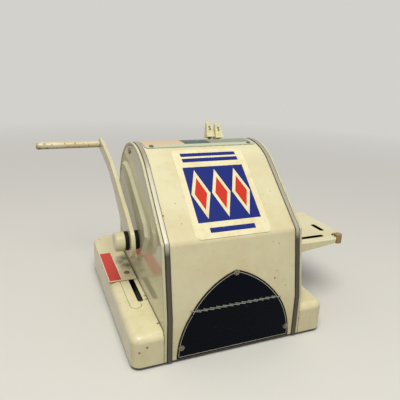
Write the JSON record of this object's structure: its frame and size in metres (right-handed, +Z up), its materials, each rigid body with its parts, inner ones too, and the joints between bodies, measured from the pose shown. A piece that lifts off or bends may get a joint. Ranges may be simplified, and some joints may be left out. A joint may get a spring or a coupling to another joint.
{
  "type": "check writer",
  "caption": "Desk check writer with a curved keyboard of swinging selectors, a hand-pulled side handle that lifts a platen under an inked ribbon, and a side table for the check.",
  "frame": {"origin": "centre of the model's box, on the surface that its feet stand on", "axes": "+Z up; +X to the operator's right, where the handle is; -Y towards the operator and the keyboard; +Y is the rear wall with the nameplate"},
  "size_m": [0.363, 0.287, 0.2263],
  "materials": {
    "cream_enamel": "gloss",
    "worn_grip_enamel": "worn satin",
    "cream_plastic": "gloss",
    "trim_aluminium": "satin",
    "black_enamel": "gloss",
    "label_paper": "satin",
    "printed_strip": "satin",
    "plain_steel": "satin",
    "plated_screw": "satin",
    "bearing_brass": "satin",
    "black_rubber": "matte",
    "inked_fabric": "matte",
    "black_plastic": "satin",
    "amber_plastic": "gloss"
  },
  "bodies": {
    "machine_body": {"base_housing": "cream_enamel", "bottom_plate": "plain_steel", "rubber_feet": "black_rubber", "base_screws": "plated_screw", "rear_cover": "cream_enamel", "right_side_plate": "cream_enamel", "left_side_plate": "cream_enamel", "trim_strips": "trim_aluminium", "keyboard_panel": "cream_enamel", "front_apron": "cream_enamel", "throat_bed": "plain_steel", "top_strip": "printed_strip", "cover_screws": "plated_screw", "nameplate": "black_enamel", "slope_label": "label_paper", "right_frame": "plain_steel", "left_frame": "plain_steel", "frame_rods": "plain_steel", "selector_shaft": "plain_steel", "selector_spacers": "bearing_brass", "detent_comb": "plain_steel", "handle_bearings": "bearing_brass", "handle_spring": "plain_steel", "check_table": "cream_enamel", "table_corner_stop": "amber_plastic", "guide_posts": "plain_steel", "ribbon": "inked_fabric", "spool_brackets": "plain_steel"},
    "handle": {"handle_arm": "cream_enamel", "grip_rod": "worn_grip_enamel", "hub_cap": "cream_enamel", "hub_washers": "black_rubber", "handle_shaft": "plain_steel", "crank_disc": "plain_steel"},
    "platen": {"platen_carriage": "plain_steel", "platen_pad": "black_rubber"},
    "spool_right": {"right_spool": "black_plastic"},
    "spool_left": {"left_spool": "black_plastic"},
    "wing_slide": {"slide_plate": "cream_enamel", "slide_screw": "plated_screw"},
    "selector_1": {"selector_lever_1": "plain_steel", "selector_tab_1": "cream_plastic"},
    "selector_2": {"selector_lever_2": "plain_steel", "selector_tab_2": "cream_plastic"},
    "selector_3": {"selector_lever_3": "plain_steel", "selector_tab_3": "cream_plastic"},
    "selector_4": {"selector_lever_4": "plain_steel", "selector_tab_4": "cream_plastic"},
    "selector_5": {"selector_lever_5": "plain_steel", "selector_tab_5": "cream_plastic"},
    "selector_6": {"selector_lever_6": "plain_steel", "selector_tab_6": "cream_plastic"},
    "selector_7": {"selector_lever_7": "plain_steel", "selector_tab_7": "cream_plastic"},
    "selector_8": {"selector_lever_8": "plain_steel", "selector_tab_8": "cream_plastic"},
    "selector_9": {"selector_lever_9": "plain_steel", "selector_tab_9": "cream_plastic"},
    "selector_10": {"selector_lever_10": "plain_steel", "selector_tab_10": "cream_plastic"}
  },
  "joints": [
    {"name": "handle_pull", "type": "hinge", "parent": "machine_body", "child": "handle", "pos_m": [0, 0.04355, 0.1017], "axis": [1, 0, 0], "range_deg": [0, 35], "stiffness_Nm_per_rad": 0.9, "springref_deg": -34.38},
    {"name": "platen_lift", "type": "slide", "parent": "machine_body", "child": "platen", "axis": [0, 0, 1], "range_m": [0, 0.00519]},
    {"name": "spool_turn_right", "type": "hinge", "parent": "machine_body", "child": "spool_right", "pos_m": [0.0652, 0.01035, 0.1012], "axis": [0, 1, 0], "continuous": true},
    {"name": "spool_turn_left", "type": "hinge", "parent": "machine_body", "child": "spool_left", "pos_m": [-0.0652, 0.01035, 0.1012], "axis": [0, 1, 0], "continuous": true},
    {"name": "wing_plate_slide", "type": "slide", "parent": "machine_body", "child": "wing_slide", "axis": [0, 0.9991, -0.0428], "range_m": [-0.01, 0.045]},
    {"name": "selector_1_swing", "type": "hinge", "parent": "machine_body", "child": "selector_1", "pos_m": [0, 0.01035, 0.1308], "axis": [1, 0, 0], "range_deg": [-48, 24]},
    {"name": "selector_2_swing", "type": "hinge", "parent": "machine_body", "child": "selector_2", "pos_m": [0, 0.01035, 0.1308], "axis": [1, 0, 0], "range_deg": [-56, 16]},
    {"name": "selector_3_swing", "type": "hinge", "parent": "machine_body", "child": "selector_3", "pos_m": [0, 0.01035, 0.1308], "axis": [1, 0, 0], "range_deg": [-40, 32]},
    {"name": "selector_4_swing", "type": "hinge", "parent": "machine_body", "child": "selector_4", "pos_m": [0, 0.01035, 0.1308], "axis": [1, 0, 0], "range_deg": [-64, 8]},
    {"name": "selector_5_swing", "type": "hinge", "parent": "machine_body", "child": "selector_5", "pos_m": [0, 0.01035, 0.1308], "axis": [1, 0, 0], "range_deg": [-48, 24]},
    {"name": "selector_6_swing", "type": "hinge", "parent": "machine_body", "child": "selector_6", "pos_m": [0, 0.01035, 0.1308], "axis": [1, 0, 0], "range_deg": [-56, 16]},
    {"name": "selector_7_swing", "type": "hinge", "parent": "machine_body", "child": "selector_7", "pos_m": [0, 0.01035, 0.1308], "axis": [1, 0, 0], "range_deg": [-72, 0]},
    {"name": "selector_8_swing", "type": "hinge", "parent": "machine_body", "child": "selector_8", "pos_m": [0, 0.01035, 0.1308], "axis": [1, 0, 0], "range_deg": [0, 72]},
    {"name": "selector_9_swing", "type": "hinge", "parent": "machine_body", "child": "selector_9", "pos_m": [0, 0.01035, 0.1308], "axis": [1, 0, 0], "range_deg": [0, 72]},
    {"name": "selector_10_swing", "type": "hinge", "parent": "machine_body", "child": "selector_10", "pos_m": [0, 0.01035, 0.1308], "axis": [1, 0, 0], "range_deg": [-64, 8]}
  ],
  "couplings": [
    {"joint": "platen_lift", "follows": "handle_pull", "m_per_rad": 0.0084669},
    {"joint": "spool_turn_left", "follows": "spool_turn_right", "ratio": 1}
  ]
}
